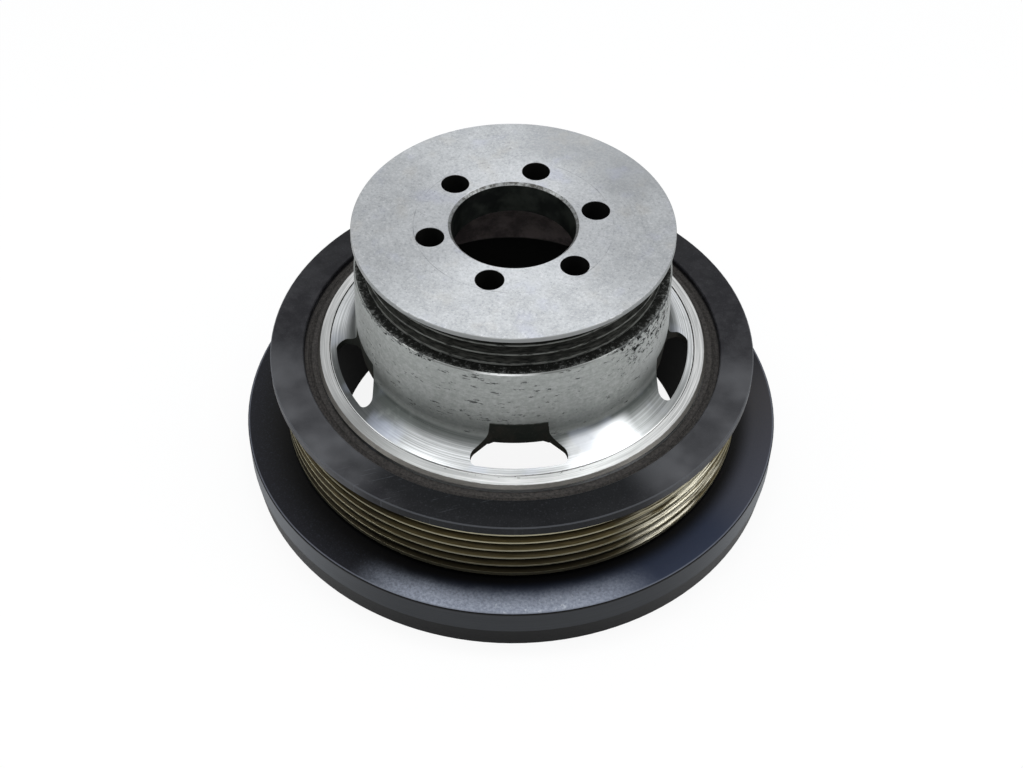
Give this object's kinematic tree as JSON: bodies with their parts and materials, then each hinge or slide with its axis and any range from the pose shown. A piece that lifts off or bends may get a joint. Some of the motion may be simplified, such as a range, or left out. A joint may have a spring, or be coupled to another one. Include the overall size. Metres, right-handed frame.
{
  "type": "harmonic balancer",
  "caption": "Harmonic balancer for an engine crankshaft: a one-piece hub with windows and a small belt pulley, in a rubber-bonded inertia ring with the main belt pulley.",
  "frame": {"origin": "on the crankshaft axis, in the plane of the inertia ring's rear face, on which the part rests", "axes": "+Z along the crankshaft axis towards the front bolting plate; +X through the middle of one window of the hub, with two of the bolt holes on the Y axis"},
  "size_m": [0.17, 0.17, 0.0918],
  "materials": {
    "machined_iron": "turned bright outside with fine tool lines, pits and dark smears of dirt; dark as cast inside and in the windows",
    "bonded_rubber": "matt dark brown-black moulded rubber",
    "blackened_iron": "thin blue-black satin coating; the belt grooves are worn through to a brassy bare metal"
  },
  "bodies": {
    "root": {"hub": "machined_iron", "rubber_ring": "bonded_rubber", "inertia_ring": "blackened_iron"}
  },
  "joints": []
}
